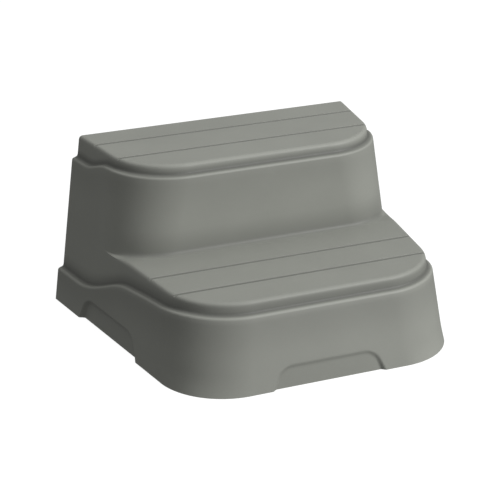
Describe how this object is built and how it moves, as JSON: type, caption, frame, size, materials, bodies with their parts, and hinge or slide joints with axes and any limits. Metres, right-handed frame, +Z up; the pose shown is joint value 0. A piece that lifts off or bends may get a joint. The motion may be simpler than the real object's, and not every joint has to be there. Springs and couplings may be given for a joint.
{
  "type": "spa steps",
  "caption": "Two-tier plastic spa steps with grooved treads, a rounded front and a boarded frame inside, open-backed skin closed by a flat panel.",
  "frame": {"origin": "on the floor, under the middle of the outer box", "axes": "+Z up; people climb from -Y, the front, towards +Y, where the flat back faces the tub; +X to the right seen from the front"},
  "size_m": [0.785, 0.622, 0.38],
  "materials": {
    "moulded_skin": "warm grey moulded polyethylene, fine satin grain",
    "panel_sheet": "grey sheet plastic, satin",
    "frame_board": "sealed exterior plywood",
    "foot_rubber": "black moulded rubber",
    "screw_steel": "stainless",
    "bond_strip": "black flexible adhesive tape"
  },
  "bodies": {
    "root": {"step_shell": "moulded_skin", "back_panel": "panel_sheet", "upper_tread_board": "frame_board", "lower_tread_board": "frame_board", "left_stringer": "frame_board", "centre_stringer": "frame_board", "right_stringer": "frame_board", "upper_rear_rail": "frame_board", "upper_front_rail": "frame_board", "middle_rail": "frame_board", "front_rail": "frame_board", "base_rear_rail": "frame_board", "base_front_rail": "frame_board", "left_panel_cleat": "frame_board", "right_panel_cleat": "frame_board", "rear_left_foot": "foot_rubber", "rear_centre_foot": "foot_rubber", "rear_right_foot": "foot_rubber", "front_left_foot": "foot_rubber", "front_centre_foot": "foot_rubber", "front_right_foot": "foot_rubber", "foot_screws": "screw_steel", "board_screws": "screw_steel", "rail_screws": "screw_steel", "panel_screws": "screw_steel", "upper_bond_strips": "bond_strip", "lower_bond_strips": "bond_strip"}
  },
  "joints": []
}
